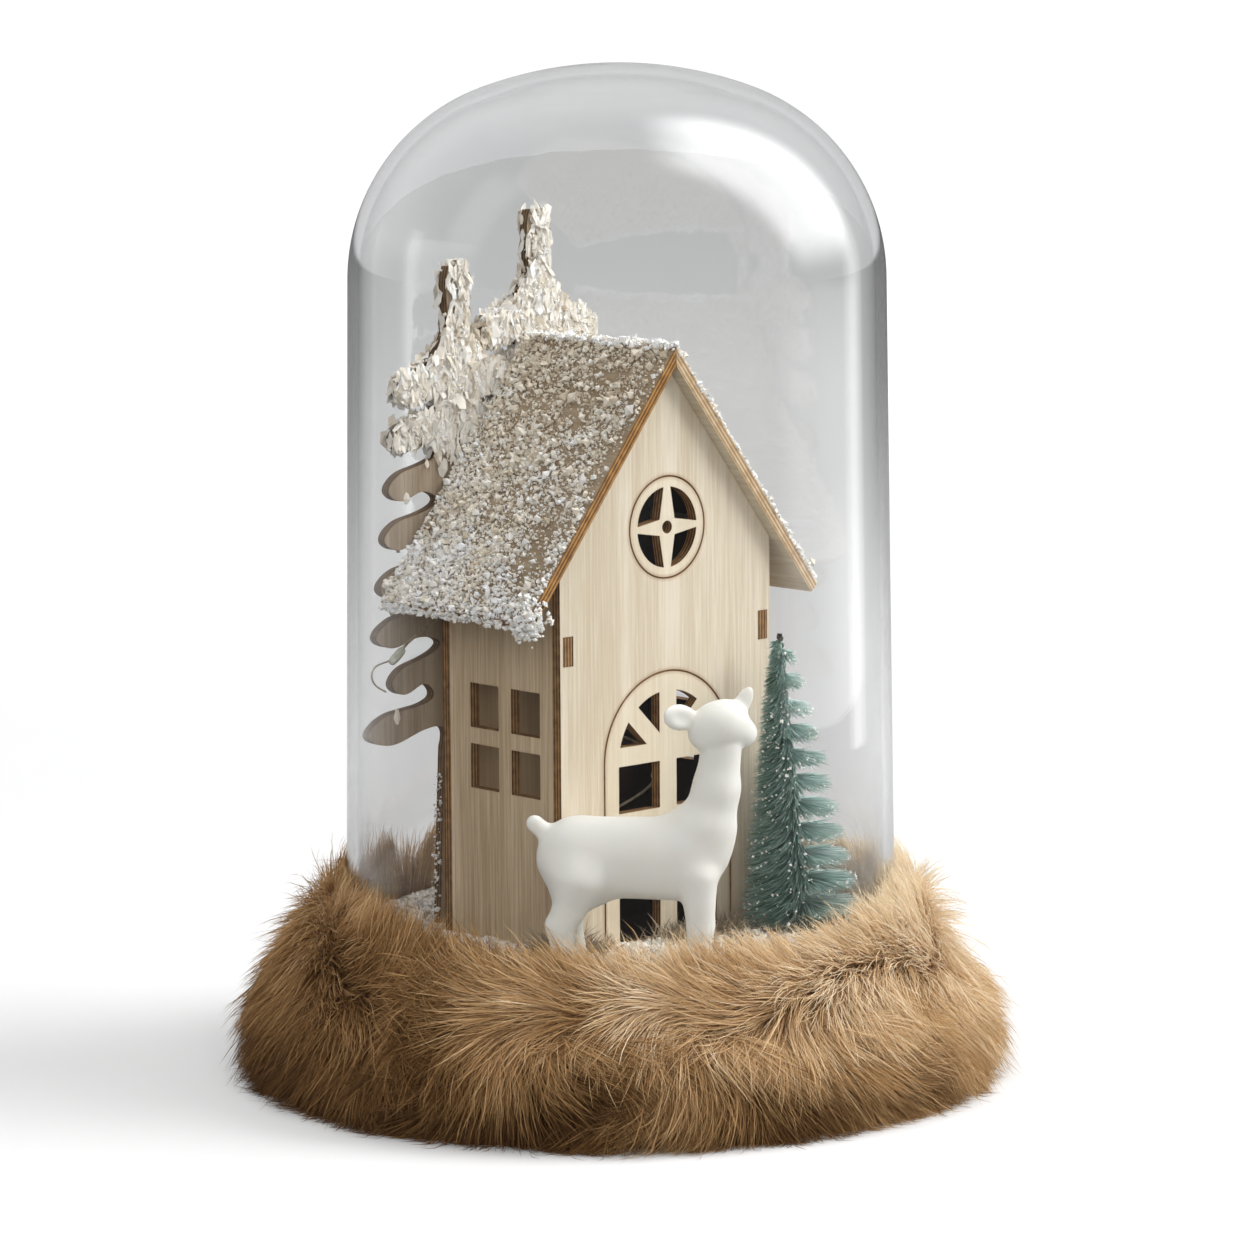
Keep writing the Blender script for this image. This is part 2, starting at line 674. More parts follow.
def can_material():
    """Cell can: a printed sleeve with plain bands and no lettering."""
    shader = Shader("battery_can")
    bands = shader.between(shader.apart(shader.parts(shader.place())["X"]), 14.0, 14.3)
    sleeve = shader.mix(bands, srgb(178, 142, 66), srgb(52, 54, 58))
    scuffs = shader.noise(0.5, 5, 0.7)
    colour = shader.mix(shader.between(scuffs, 0.6, 0.75, 0.0, 0.3), sleeve, srgb(200, 196, 186))
    rough = shader.between(scuffs, 0.3, 0.7, 0.28, 0.45)
    return shader.done(Base_Color=colour, Metallic=0.4, Roughness=rough)


def resistor_material():
    """Painted barrel with plain colour bands."""
    shader = Shader("resistor_paint")
    waves = shader.maths("SINE", shader.times(shader.parts(shader.place())["X"], 3.6))
    body = shader.ramp(shader.noise(2, 4), [(0.3, srgb(186, 158, 116)), (0.7, srgb(206, 180, 140))])
    colour = shader.mix(shader.between(waves, 0.75, 0.85), body, srgb(120, 52, 34))
    return shader.done(Base_Color=colour, Roughness=0.4)


def wire_material():
    shader = Shader("lamp_wire")
    colour = shader.ramp(shader.noise(0.6, 4), [(0.3, srgb(150, 132, 98)), (0.7, srgb(214, 202, 172))])
    return shader.done(Base_Color=colour, Metallic=0.6, Roughness=0.35)


def resin_material():
    shader = Shader("lamp_resin")
    swirl = shader.noise(0.7)
    colour = shader.ramp(swirl, [(0.3, srgb(214, 218, 196)), (0.7, srgb(242, 243, 232))])
    return shader.done(
        Base_Color=colour, Roughness=0.12, IOR=1.5, Transmission_Weight=0.6, Normal=shader.bump(swirl, 0.05),
    )


# Glass dome.

def make_dome(material):
    """Blown dome with straight, slightly tapered sides, a round shoulder and a flatter crown."""
    wall = 2.4
    rim = dome_low[2]
    shoulder_radius = dome_radius - 2.2
    shoulder_height = dome_high[2] - 46.47
    shoulder_arc = 44.0
    crown_angle = 70.0
    centre = (shoulder_radius - shoulder_arc, shoulder_height)
    turn = math.radians(crown_angle)
    crown_radius = shoulder_arc + centre[0] / math.cos(turn)
    crown_centre = (0.0, shoulder_height - (crown_radius - shoulder_arc) * math.sin(turn))
    side = np.linspace(0, 1, 30)[:-1, None]
    foot = np.array([dome_radius, rim + wall / 2])
    shoulder = np.array([shoulder_radius, shoulder_height])
    outer = [
        foot * (1 - side) + shoulder * side,
        arc(centre, shoulder_arc, 0, crown_angle, 30)[:-1],
        arc(crown_centre, crown_radius, crown_angle, 90, 16),
    ]
    inner = [
        arc(crown_centre, crown_radius - wall, 90, crown_angle, 16)[:-1],
        arc(centre, shoulder_arc - wall, crown_angle, 0, 30)[:-1],
        (foot - [wall, 0]) * side + (shoulder - [wall, 0]) * (1 - side),
        arc((dome_radius - wall / 2, rim + wall / 2), wall / 2, 180, 360, 9),
    ]
    shape = joined([lathe(np.concatenate(outer)), lathe(np.concatenate(inner))])
    merge_close(new_piece("dome_shell", shape, material, True, "dome", "glass_dome"))


# Fur trim. Its patterns are laid out on the backing unrolled, by angle and by share of the backing's profile.

FUR_SECTORS = 8
FUR_RADIUS = 75
FUR_WIDTH = 55
front_angle = math.atan2(to_viewer[1], to_viewer[0])
light_angle = math.atan2(to_right[1], to_right[0])


def falling(value, rate, start=1.0):
    """start less the value times a rate, kept between 0 and 1."""
    return np.clip(start - value * rate, 0, 1)


def fur_rise(angle):
    """From 0 on the viewer's side to 1 behind."""
    return 0.5 - 0.5 * np.cos(angle - front_angle)


def fur_roots(angle, share):
    """Place and outward normal of hair roots on the backing."""
    crest = base_top + 2.5
    profile = np.array([
        (dome_radius + 1.8, crest - 0.8),
        (dome_radius + 4.2, crest),
        (dome_radius + 7.4, crest - 2.2),
        (dome_radius + 11.2, crest - 7.5),
        (dome_radius + 14.0, crest - 14.5),
        (dome_radius + 14.8, crest - 21.0),
        (dome_radius + 14.0, fur_low[2] + 0.4),
    ])
    spot, normal = along_profile(profile, share)
    radius, height = spot.T
    lumps = layered_noise(round_axis(angle, FUR_RADIUS, height), 22.0, 3) - 0.5
    stand = 0.2 + 3.2 * fur_rise(angle) + 5.0 * np.abs(np.sin(angle - front_angle)) ** 2.6
    lift = stand * np.clip(share * 20, 0.1, 1) * falling(share, 5.0, 1.25)
    radius = radius + lumps * 2.4 * np.clip(share * 4, 0, 1)
    outward = round_axis(angle)
    places = outward * radius[:, None] + upward * (height + lift)[:, None]
    lean_out = 0.6 * np.clip(share * 20, 0, 1) * falling(share, 5)
    normals = outward * (normal[:, :1] + lean_out[:, None]) + upward * normal[:, 1:]
    return places, normalised(normals), outward


def fur_curves(angle, share, length, rng, levels=6):
    """Hair that leaves the backing at a slant, then lies over along a swirling comb direction.

    It rises near the crest, hangs lower down, and stands tallest next to the dome at both sides and behind.
    """
    root, normal, outward = fur_roots(angle, share)
    around = np.cross(upward, outward)
    down = np.cross(around, normal)
    unrolled = round_axis(angle, FUR_RADIUS, share * FUR_WIDTH)
    free = 0.2 + 0.8 * np.clip(share * 5, 0, 1)
    swirl = (layered_noise(unrolled, 26.0, 11) - 0.5) * 3.6
    swirl += (smooth_noise(unrolled, 9.0, 23) - 0.5) * 2.0
    swirl = swirl * free + rng.normal(scale=0.2, size=len(angle))
    curl = (smooth_noise(unrolled, 12.0, 29) - 0.5) * 2.6 * free
    beside = np.clip(fur_rise(angle) * 4 - 0.4, 0, 1)
    inner = falling(share, 16)
    length = length * (1 - 0.5 * inner * (1 - beside)) * (1 - 0.22 * falling(share, 3))
    sweep = np.tanh((smooth_noise(unrolled[:, :2], 34.0, 89) - 0.5) * 11) * math.pi
    swirl = swirl + sweep * (1 - np.clip(share * 3.2 - 0.1, 0, 1))
    hold = np.clip(0.4 + share * 3, 0, 1)[:, None]
    steep = 0.62 + 0.3 * beside * falling(share, 7) + 0.6 * inner
    steep = steep + rng.normal(scale=0.16, size=len(angle))
    points = [root]
    for level in range(1, levels):
        part = level / (levels - 1)
        turn = swirl + curl * part
        comb = (down * np.cos(turn)[:, None] + around * np.sin(turn)[:, None]) * hold
        lean = np.clip(steep * (1 - (0.7 - 0.4 * inner) * part), 0.1, 1.45)
        step = normalised(normal * np.sin(lean)[:, None] + comb * np.cos(lean)[:, None])
        step = normalised(step - upward * 0.14 * part)
        points.append(points[-1] + step * (length / (levels - 1))[:, None])
    return np.stack(points, axis=1)


def keep_fur_clear(curves):
    """Hair stays outside the dome and above the floor."""
    radius = np.linalg.norm(curves[..., :2], axis=-1, keepdims=True)
    clear = dome_radius + 0.35
    curves[..., :2] *= np.maximum(clear / np.maximum(radius, 1e-6), 1)
    curves[..., 2] = np.maximum(curves[..., 2], fur_low[2] + 0.05)
    return curves


def nearest_clump(angle, share, size, seed):
    """Centre of the tuft that each hair belongs to, on a jittered grid over the unrolled backing."""
    turns = round(FULL_TURN * FUR_RADIUS / size)
    rows = round(FUR_WIDTH / size)
    column = angle / FULL_TURN * turns
    row = share * rows
    jitter = np.random.default_rng(seed).uniform(0, 1, size=(turns, rows + 4, 2))
    best = np.full(len(angle), 1e9)
    centre = np.zeros((len(angle), 2))
    for shift in itertools.product((-1, 0, 1), repeat=2):
        cell_column = np.floor(column).astype(int) + shift[0]
        cell_row = np.floor(row).astype(int) + shift[1]
        offset = jitter[cell_column % turns, np.clip(cell_row + 2, 0, rows + 3)]
        cell_centre = np.stack([cell_column, cell_row], axis=1) + offset
        distance = (column - cell_centre[:, 0]) ** 2 + (row - cell_centre[:, 1]) ** 2
        closer = distance < best
        best = np.where(closer, distance, best)
        centre[closer] = cell_centre[closer]
    return centre[:, 0] / turns * FULL_TURN, np.clip(centre[:, 1] / rows, 0, 1)


def fur_tones(angle, share, rng):
    """Hair is darker on the viewer's left and lighter on the right, with patches and single pale hairs."""
    unrolled = round_axis(angle, FUR_RADIUS, share * FUR_WIDTH)
    side = 0.5 + 0.5 * np.cos(angle - light_angle)
    patches = layered_noise(unrolled, 20.0, 31) - 0.5
    fine = smooth_noise(unrolled, 4.0, 37) - 0.5
    tone = 0.13 + 0.7 * side ** 1.3 + patches * 0.66 + fine * 0.25 + rng.normal(scale=0.1, size=len(angle))
    tone += (0.24 + 0.4 * fur_rise(angle)) * falling(share, 3) - 0.5 * np.clip(share * 1.8 - 0.6, 0, 1)
    return np.clip(tone, 0, 1)


def make_fur(material, backing):
    rng = np.random.default_rng(5)
    strands = 140000
    angle = rng.uniform(0, FULL_TURN, strands)
    share = rng.uniform(0, 1, strands) ** 1.1
    share = np.where(rng.uniform(size=strands) < 0.1, rng.uniform(0, 0.06, strands), share)
    length = rng.normal(15.5, 2.8, strands).clip(7, 24)
    length *= 1 - 0.25 * np.clip(share * 4 - 3, 0, 1)
    curves = fur_curves(angle, share, length, rng)
    clump_angle, clump_share = nearest_clump(angle, share, 3.8, 17)
    centres = fur_curves(clump_angle, clump_share, length * 1.04, np.random.default_rng(9))
    along = np.linspace(0, 1, curves.shape[1])[None, :, None]
    curves = curves + (centres - curves) * along ** 1.3 * rng.uniform(0.15, 0.65, size=(strands, 1, 1))
    curves = keep_fur_clear(curves + rng.normal(scale=0.8, size=(strands, 1, 3)) * along ** 2)
    tones = fur_tones(angle, share, rng)
    widths = rng.uniform(0.12, 0.24, strands)
    sector = (angle / FULL_TURN * FUR_SECTORS).astype(int) % FUR_SECTORS
    for number in range(FUR_SECTORS):
        chosen = sector == number
        shape = blades(curves[chosen], widths[chosen], tones[chosen], rng)
        trim = new_piece(f"fur_pile_{number + 1}", shape, material, smooth=True)
    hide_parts("fur_trim")
    make_fur_backing(backing)


def make_fur_backing(material):
    """The hide under the pile, from the groove of the dome over the edge and down to the floor."""
    segments = 220
    rows = 26
    angles = even_angles(segments)
    grid_share, grid_angle = np.meshgrid(np.linspace(0, 1, rows), angles, indexing="ij")
    outer = fur_roots(grid_angle.ravel(), grid_share.ravel())[0].reshape(rows, segments, 3)
    board = base_high[0] + 0.4
    foot = round_axis(angles, board, fur_low[2] + 0.3)
    corner = round_axis(angles, board, base_top + 0.5)
    lip_radius = np.where(outer[0, :, 2] > base_top + 0.6, dome_radius + 1.4, board)
    lip = round_axis(angles, lip_radius, base_top + 0.5)
    loop = np.concatenate([outer, foot[None], corner[None], lip[None], outer[:1]])
    merge_close(new_piece("fur_hide", ring_grid(loop, inside_out=True), material, smooth=True))


# Snow on the ground, the roof and the firs.

def snow_sizes(rng, usual, variety, count, smallest, largest):
    return rng.lognormal(math.log(usual), variety, count).clip(smallest, largest)


def outside_house(spots, clearance):
    across = np.abs(spots[:, 0] - house_x) > half_width + clearance
    deep = np.abs(spots[:, 1] - house_y) > half_depth + clearance
    return across | deep


def snow_height(places):
    flat = places * np.array([1, 1, 0])
    mounds = layered_noise(flat, 16.0, 51) * 2.2 + smooth_noise(flat, 4.0, 57) * 0.6
    reach = np.linalg.norm(flat, axis=1) / snow_high[0]
    height = ground - 1.6 + mounds + 2.2 * np.clip(reach * 4 - 3, 0, 1)
    return np.where(outside_house(places, -1.2), height, base_top - 1.0)


def make_snow_bed(material, granule, straw):
    rng = np.random.default_rng(41)
    radius = snow_high[0]
    rows = 90
    columns = 240
    angles = even_angles(columns)
    places = round_axis(angles, np.linspace(0, radius, rows)[:, None])
    places[..., 2] = snow_height(places.reshape(-1, 3)).reshape(rows, columns)
    underside = base_top + 0.05
    skirt = round_axis(angles, radius, underside)
    middle = round_axis(angles, 0.0, underside)
    loop = np.concatenate([places, skirt[None], middle[None]])
    merge_close(new_piece("snow_layer", ring_grid(loop, inside_out=True), material, smooth=True,
                          replaces="snow_bed"))
    count = 15000
    spot_angle = rng.uniform(0, FULL_TURN, count)
    spots = round_axis(spot_angle, radius * 0.985 * np.sqrt(rng.uniform(0, 1, count)))
    spots = spots[outside_house(spots, 0.3)]
    count = len(spots)
    spots[:, 2] = snow_height(spots) + rng.uniform(0.0, 0.5, count)
    sizes = snow_sizes(rng, 0.75, 0.4, count, 0.3, 2.2)
    tones = 0.72 + (layered_noise(spots, 14.0, 5) - 0.5) * 0.9 + rng.normal(scale=0.12, size=count)
    new_piece("snow_grains_ground", granules(spots, sizes, tones, rng), granule)
    make_tufts(straw)


def make_tufts(material):
    """Dry grass at the foot of the walls, in front of the door and round the brush tree."""
    rng = np.random.default_rng(61)
    front = wall_low[1]
    left = wall_low[0]
    spots = [
        (left - 1.5, front - 1.0, 5.0, 900, 8.5, 0.25),
        (left + 6.0, front - 3.0, 4.0, 260, 5.0, 0.35),
        (house_x + 2.0, front - 3.5, 9.0, 420, 6.0, 0.6),
        (house_x + 14.0, front - 4.0, 5.0, 260, 6.0, 0.7),
        (stem_low[0] + 4.0, stem_low[1] + 2.0, 10.0, 900, 6.5, 0.3),
        (left - 14.0, front + 10.0, 7.0, 200, 4.0, 0.6),
    ]
    curves = []
    tones = []
    for x, y, spread, count, height, tone in spots:
        foot = np.stack([rng.normal(x, spread * 0.5, count), rng.normal(y, spread * 0.3, count),
                         np.zeros(count)], axis=1)
        foot[:, 1] = np.where(outside_house(foot, 0.6), foot[:, 1], front - 0.8)
        foot[:, 2] = snow_height(foot)
        lean = normalised(rng.normal(size=(count, 3)) * np.array([1, 1, 0.2]) + upward * 1.1)
        bend = rng.normal(size=(count, 3)) * np.array([1, 1, 0.3])
        tall = rng.uniform(0.45, 1.0, (count, 1)) * height
        steps = [foot + lean * tall * part + bend * tall * 0.35 * part ** 2 for part in (0, 0.35, 0.7, 1.0)]
        curves.append(np.stack(steps, axis=1))
        tones.append(rng.normal(tone, 0.18, count))
    curves = np.concatenate(curves)
    in_wall = (curves[..., 1] > front - 0.3) & (curves[..., 0] > left - 0.3)
    curves[..., 1] = np.where(in_wall, front - 0.3, curves[..., 1])
    widths = rng.uniform(0.12, 0.3, len(curves))
    new_piece("dry_grass", blades(curves, widths, np.concatenate(tones).clip(0, 1), rng), material)


def make_roof_snow(material):
    """Granules that thin out towards the ridge and the front."""
    rng = np.random.default_rng(71)
    for label, count in (("left", 22000), ("right", 19000)):
        node = f"roof_{label}_panel"
        low, high = corners_of(node)

        def height_share(places):
            return (places[:, 2] - low[2]) / (high[2] - low[2])

        places, normals = surface_points(node, count * 3, rng)
        cover = 0.5 + 0.55 * (places[:, 1] - low[1]) / (high[1] - low[1]) - 0.4 * height_share(places)
        cover += (layered_noise(places, 9.0, 73) - 0.5) * 1.5
        keep = (normals[:, 2] > 0.4) & (rng.uniform(size=len(places)) < np.clip(cover, 0.04, 1))
        places, normals = places[keep][:count], normals[keep][:count]
        count = len(places)
        sizes = snow_sizes(rng, 0.52, 0.55, count, 0.25, 2.4)
        places = places + normals * (sizes * rng.uniform(0.1, 0.75, count))[:, None]
        tones = rng.normal(0.42, 0.17, count) + 0.5 * (layered_noise(places, 7.0, 79) - 0.5)
        tones += 0.4 * (1 - height_share(places))
        new_piece(f"roof_snow_{label}", granules(places, sizes, tones, rng), material)
    make_edge_crumbs(material)


def make_edge_crumbs(material):
    """Larger crumbs on the ridge, down the front edge, along the left eave and in one lump at its front."""
    rng = np.random.default_rng(83)
    eave_x, front, eave_z = roof_low
    _, back, peak = roof_high
    ridge_count = 520
    slope_count = 340
    eave_count = 420
    ridge = np.stack([rng.normal(house_x, 0.9, ridge_count), rng.uniform(front, back, ridge_count),
                      peak + rng.uniform(-0.6, 0.9, ridge_count)], axis=1)
    part = rng.uniform(0, 1, slope_count)
    slope = np.stack([house_x + (house_x - eave_x) * part, rng.normal(front + 0.6, 0.5, slope_count),
                      peak + (eave_z + 2.0 - peak) * part + rng.uniform(-0.2, 0.7, slope_count)], axis=1)
    along = rng.uniform(0, 1, eave_count) ** 0.6
    eave = np.stack([rng.normal(eave_x + 0.6, 0.5, eave_count), front + (back - front) * along,
                     eave_z + rng.uniform(-0.3, 1.6, eave_count)], axis=1)
    lump = rng.normal(size=(eave_count, 3)) * np.array([1.5, 1.6, 1.7])
    lump += np.array([eave_x + 1.8, front + 1.2, eave_z + 1.6])
    places = np.concatenate([ridge, slope, eave, lump])
    sizes = snow_sizes(rng, 0.95, 0.35, len(places), 0.4, 2.4)
    tones = rng.normal(0.88, 0.1, len(places))
    new_piece("roof_snow_crumbs", granules(places, sizes, tones, rng), material)


def make_fir_snow(material):
    """Thick flaking flock high on each fir, thinner on the lowest branches and bare beside its tip."""
    rng = np.random.default_rng(97)
    trunk_top = ground + 34.0
    bare_tip = 13.0
    for label, count in (("short", 3600), ("tall", 5200)):
        node = f"fir_tree_{label}"
        low, high = corners_of(node)
        tip_x = (low[0] + high[0]) / 2
        places, normals = surface_points(node, count * 9, rng)
        above = places[:, 2] - (roof_low[2] + 30.0)
        cover = np.clip(above / 9.0, 0.001, 1) * (0.75 + (layered_noise(places, 6.0, 99) - 0.35) * 1.6)
        cover *= np.where(np.abs(normals[:, 1]) > 0.7, 1.0, 0.22)
        bare = (places[:, 2] > high[2] - bare_tip) & (places[:, 0] < tip_x + 0.3)
        cover = np.where(bare, cover * 0.22, cover)
        trunk_edge = (np.abs(normals[:, 0]) > 0.7) & (places[:, 2] < trunk_top)
        cover = np.where(trunk_edge, 0.25, cover)
        keep = rng.uniform(size=len(places)) < np.clip(cover, 0, 1)
        places, normals = places[keep], normals[keep]
        upper = places[:, 2] > trunk_top
        flaked, turned = places[upper][:count], normals[upper][:count]
        flaked = flaked + turned * rng.uniform(0.1, 0.8, (len(flaked), 1))
        sizes = snow_sizes(rng, 1.35, 0.35, len(flaked), 0.6, 3.0)
        tones = rng.normal(0.68, 0.12, len(flaked)) - 0.2 * (layered_noise(flaked, 4.0, 101) > 0.66)
        new_piece(f"fir_flock_{label}", flakes(flaked, turned, sizes, tones, rng), material)
        loose = np.concatenate([np.flatnonzero(~upper), np.flatnonzero(upper)[count:2 * count]])
        sizes = snow_sizes(rng, 0.6, 0.4, len(loose), 0.25, 1.6)
        crumbs = places[loose] + normals[loose] * rng.uniform(0.2, 1.1, (len(loose), 1))
        tones = rng.normal(0.78, 0.15, len(loose))
        new_piece(f"fir_snow_{label}", granules(crumbs, sizes, tones, rng), material)


# Deer: one smooth skin round simple solids. Its own frame has +X towards the chest and z = 0 at the hooves.

def ball(grid, centre, radii, turn=None):
    radii = np.array(radii, dtype=np.float32)
    offset = grid - np.array(centre, dtype=np.float32)
    if turn is not None:
        offset = offset @ np.array(turn.to_3x3(), dtype=np.float32)
    scaled = offset / radii
    near = np.linalg.norm(scaled, axis=-1)
    slope = np.linalg.norm(scaled / radii, axis=-1)
    return near * (near - 1) / np.maximum(slope, 1e-6)


def limb(grid, start, end, start_radius, end_radius, flat=1.0):
    """Rounded cone between two points; flat below 1 makes it narrower from side to side."""
    squeeze = np.array([1, 1 / flat, 1], dtype=np.float32)
    start = np.array(start, dtype=np.float32) * squeeze
    end = np.array(end, dtype=np.float32) * squeeze
    offset = grid * squeeze - start
    axis = end - start
    part = np.clip((offset @ axis) / (axis @ axis), 0, 1)
    nearest = np.linalg.norm(offset - part[..., None] * axis, axis=-1)
    return (nearest - (start_radius + (end_radius - start_radius) * part)) * flat


def melt(first, second, reach):
    """Union of two solids, rounded where they meet."""
    part = np.clip(0.5 + 0.5 * (second - first) / reach, 0, 1)
    return second * (1 - part) + first * part - reach * part * (1 - part)


def deer_skin(grid):
    """Signed distance to the skin. Each limb has two ends, two radii, a flatness and a melting reach."""
    limbs = [
        ((-9.0, 0, 23.2), (-8.2, 0, 18.8), 7.4, 6.2, 0.8, 3.0),     # haunches
        ((15.2, 0, 27.6), (16.6, 0, 26.2), 7.1, 6.5, 0.78, 2.4),    # chest
        ((18.5, 0, 31.5), (19.9, 0, 38.5), 5.6, 4.6, 0.9, 3.2),     # lower neck
        ((19.9, 0, 38.5), (21.0, 0.3, 47.5), 4.6, 4.2, 0.95, 2.0),  # upper neck
        ((-14.0, 0, 27.4), (-17.9, 0, 30.9), 1.9, 1.9, 0.9, 1.2),   # tail
    ]
    for side in (-1, 1):
        hip = (-9.0, side * 3.3, 19.5)
        knee = (-10.7, side * 3.4, 13.0)
        hock = (-12.0 + side * 0.5, side * 3.4, 9.8)
        wrist = (16.6, side * 3.1, 9.0)
        limbs += [
            ((16.2, side * 3.2, 20.0), wrist, 3.9, 2.8, 1.0, 1.8),
            (wrist, (16.3, side * 3.1, 0.6), 2.8, 2.35, 1.0, 0.8),
            (hip, knee, 5.7, 3.3, 1.0, 2.4),
            (knee, hock, 3.3, 3.2, 1.0, 1.0),
            (hock, (-10.4 + side, side * 3.4, 0.6), 3.0, 2.3, 1.0, 0.8),
        ]
    skin = limb(grid, (-8.4, 0, 23.9), (12.0, 0, 23.5), 8.5, 8.9, 0.72)
    for start, end, start_radius, end_radius, flat, reach in limbs:
        skin = melt(skin, limb(grid, start, end, start_radius, end_radius, flat), reach)
    head = ball(grid, (20.7, 0.6, 51.8), (6.1, 5.5, 5.1))
    head = melt(head, ball(grid, (18.6, 0.2, 50.0), (4.5, 4.4, 3.8)), 1.6)
    head = melt(head, ball(grid, (22.2, 1.2, 53.4), (3.9, 4.4, 3.6)), 1.6)
    head = melt(head, ball(grid, (24.9, 2.6, 49.9), (3.4, 3.6, 3.2)), 1.2)
    near_turn = Matrix.Rotation(math.radians(38), 4, "Z") @ Matrix.Rotation(math.radians(12), 4, "Y")
    near_ear = ball(grid, (12.5, -2.9, 54.0), (4.4, 1.2, 2.9), near_turn)
    near_ear = -melt(-near_ear, ball(grid, (14.1, -5.1, 53.8), (3.9, 2.1, 2.4), near_turn), 0.5)
    far_turn = Matrix.Rotation(math.radians(-62), 4, "Y")
    far_ear = ball(grid, (25.2, 2.6, 56.2), (4.0, 1.1, 1.8), far_turn)
    return melt(melt(melt(skin, head, 0.5), near_ear, 0.7), far_ear, 0.8)


def make_deer(material):
    step = 0.4
    low = np.array([-23.0, -10.0, -1.2])
    high = np.array([33.0, 12.0, 61.0])
    heading = math.radians(-46)
    place = np.array([-28.6, -31.0, ground + 0.06])
    axes = [np.arange(low[axis], high[axis], step, dtype=np.float32) for axis in range(3)]
    skin = deer_skin(np.stack(np.meshgrid(*axes, indexing="ij"), axis=-1))
    volume = openvdb.FloatGrid()
    volume.copyFromArray(skin.astype(np.float32))
    points, _, quads = volume.convertToPolygons(isovalue=0.0, adaptivity=0.0)
    x, y, z = (points * step + low).T
    turned = np.stack([
        x * math.cos(heading) - y * math.sin(heading),
        x * math.sin(heading) + y * math.cos(heading),
        np.maximum(z, 0),
    ], axis=1)
    shape = (turned + place, [quads[:, ::-1].astype(np.int32)])
    piece = new_piece("deer_body", shape, material, smooth=True, replaces="deer_figurine")
    settle = piece.modifiers.new("settle", "CORRECTIVE_SMOOTH")
    settle.smooth_type = "SIMPLE"
    settle.iterations = 6
    settle.use_only_smooth = True
    bake_modifiers(piece)


# Bottle-brush tree, which leans a little to the viewer's left.

brush_foot = np.array([31.2, -26.7, base_top - 4.9])
brush_lean = math.radians(4.6)
brush_axis = upward * math.cos(brush_lean) - to_right * math.sin(brush_lean)
brush_height = stem_high[2] - brush_foot[2]
brush_side = normalised(np.cross(brush_axis, to_viewer))
brush_depth = np.cross(brush_axis, brush_side)


def round_brush(angle):
    return brush_side * np.cos(angle)[:, None] + brush_depth * np.sin(angle)[:, None]


def make_brush_stem(material):
    """Two wires twisted round each other."""
    wire_radius = 0.42
    pitch = 3.2
    share = np.linspace(0, 1, 260)
    strands = []
    for start in (0, math.pi):
        angle = share * brush_height / pitch * FULL_TURN + start
        path = brush_foot + brush_axis * (share * brush_height)[:, None] + wire_radius * round_brush(angle)
        strands.append(tube(path, wire_radius, 7))
    new_piece("brush_stem", joined(strands), material, smooth=True, replaces="brush_tree_stem")


def make_bristles(material, granule):
    """Tiers of bristles, parted on the viewer's right, grown together elsewhere and snowy at their tips."""
    rng = np.random.default_rng(113)
    tiers = 11
    low = ground + 2.6 - brush_foot[2]
    high = brush_height - 1.0
    count = 17000
    tier = rng.integers(0, tiers, count)
    tier = tier[rng.uniform(size=count) < 1.0 - 0.55 * (tier / tiers)]
    count = len(tier)
    direction = round_brush(rng.uniform(0, FULL_TURN, count))
    rightness = direction @ to_right
    jitter = rng.uniform(-0.5, 0.5, count) * np.where(rightness > 0.15, 0.2, 0.95)
    level = low + (high - low) * (tier + 0.5 + jitter) / tiers
    radius = 14.2 * (1 - level / high) ** 0.8 + 2.0
    radius = radius * rng.uniform(0.86, 1.03, count)
    droop = 0.10 + 0.42 * (level / brush_height) ** 2
    root = brush_foot + brush_axis * level[:, None]
    rise = rng.normal(scale=0.5, size=count) - radius * droop
    reach = direction * radius[:, None] + brush_axis * rise[:, None]
    sway = rng.normal(scale=0.35, size=(count, 3))
    curves = np.stack([root + reach * part + sway * part ** 2 for part in (0.0, 0.4, 0.75, 1.0)], axis=1)
    curves[..., 1] = np.minimum(curves[..., 1], wall_low[1] - 0.3)
    distance = np.linalg.norm(curves[..., :2], axis=-1, keepdims=True)
    curves[..., :2] *= np.minimum((dome_radius - 3.4) / distance, 1)
    curves[..., 2] = np.maximum(curves[..., 2], ground - 0.5)
    tones = 0.46 + 0.28 * rightness + rng.normal(scale=0.13, size=count)
    tones += 0.3 * (smooth_noise(curves[:, -1], 7.0, 117) - 0.5)
    shape = blades(curves, rng.uniform(0.22, 0.34, count), tones.clip(0, 1), rng)
    new_piece("brush_bristles", shape, material, replaces="brush_tree_bristles")
    specks = 900
    chosen = rng.choice(count, specks, replace=False)
    along = rng.uniform(0.6, 1.0, (specks, 1))
    spots = curves[chosen, 2] * (1 - along) + curves[chosen, 3] * along
    sizes = snow_sizes(rng, 0.5, 0.35, specks, 0.25, 1.2)
    new_piece("brush_snow", granules(spots, sizes, rng.normal(0.85, 0.1, specks), rng), granule)


# Lamp lead outside the house.

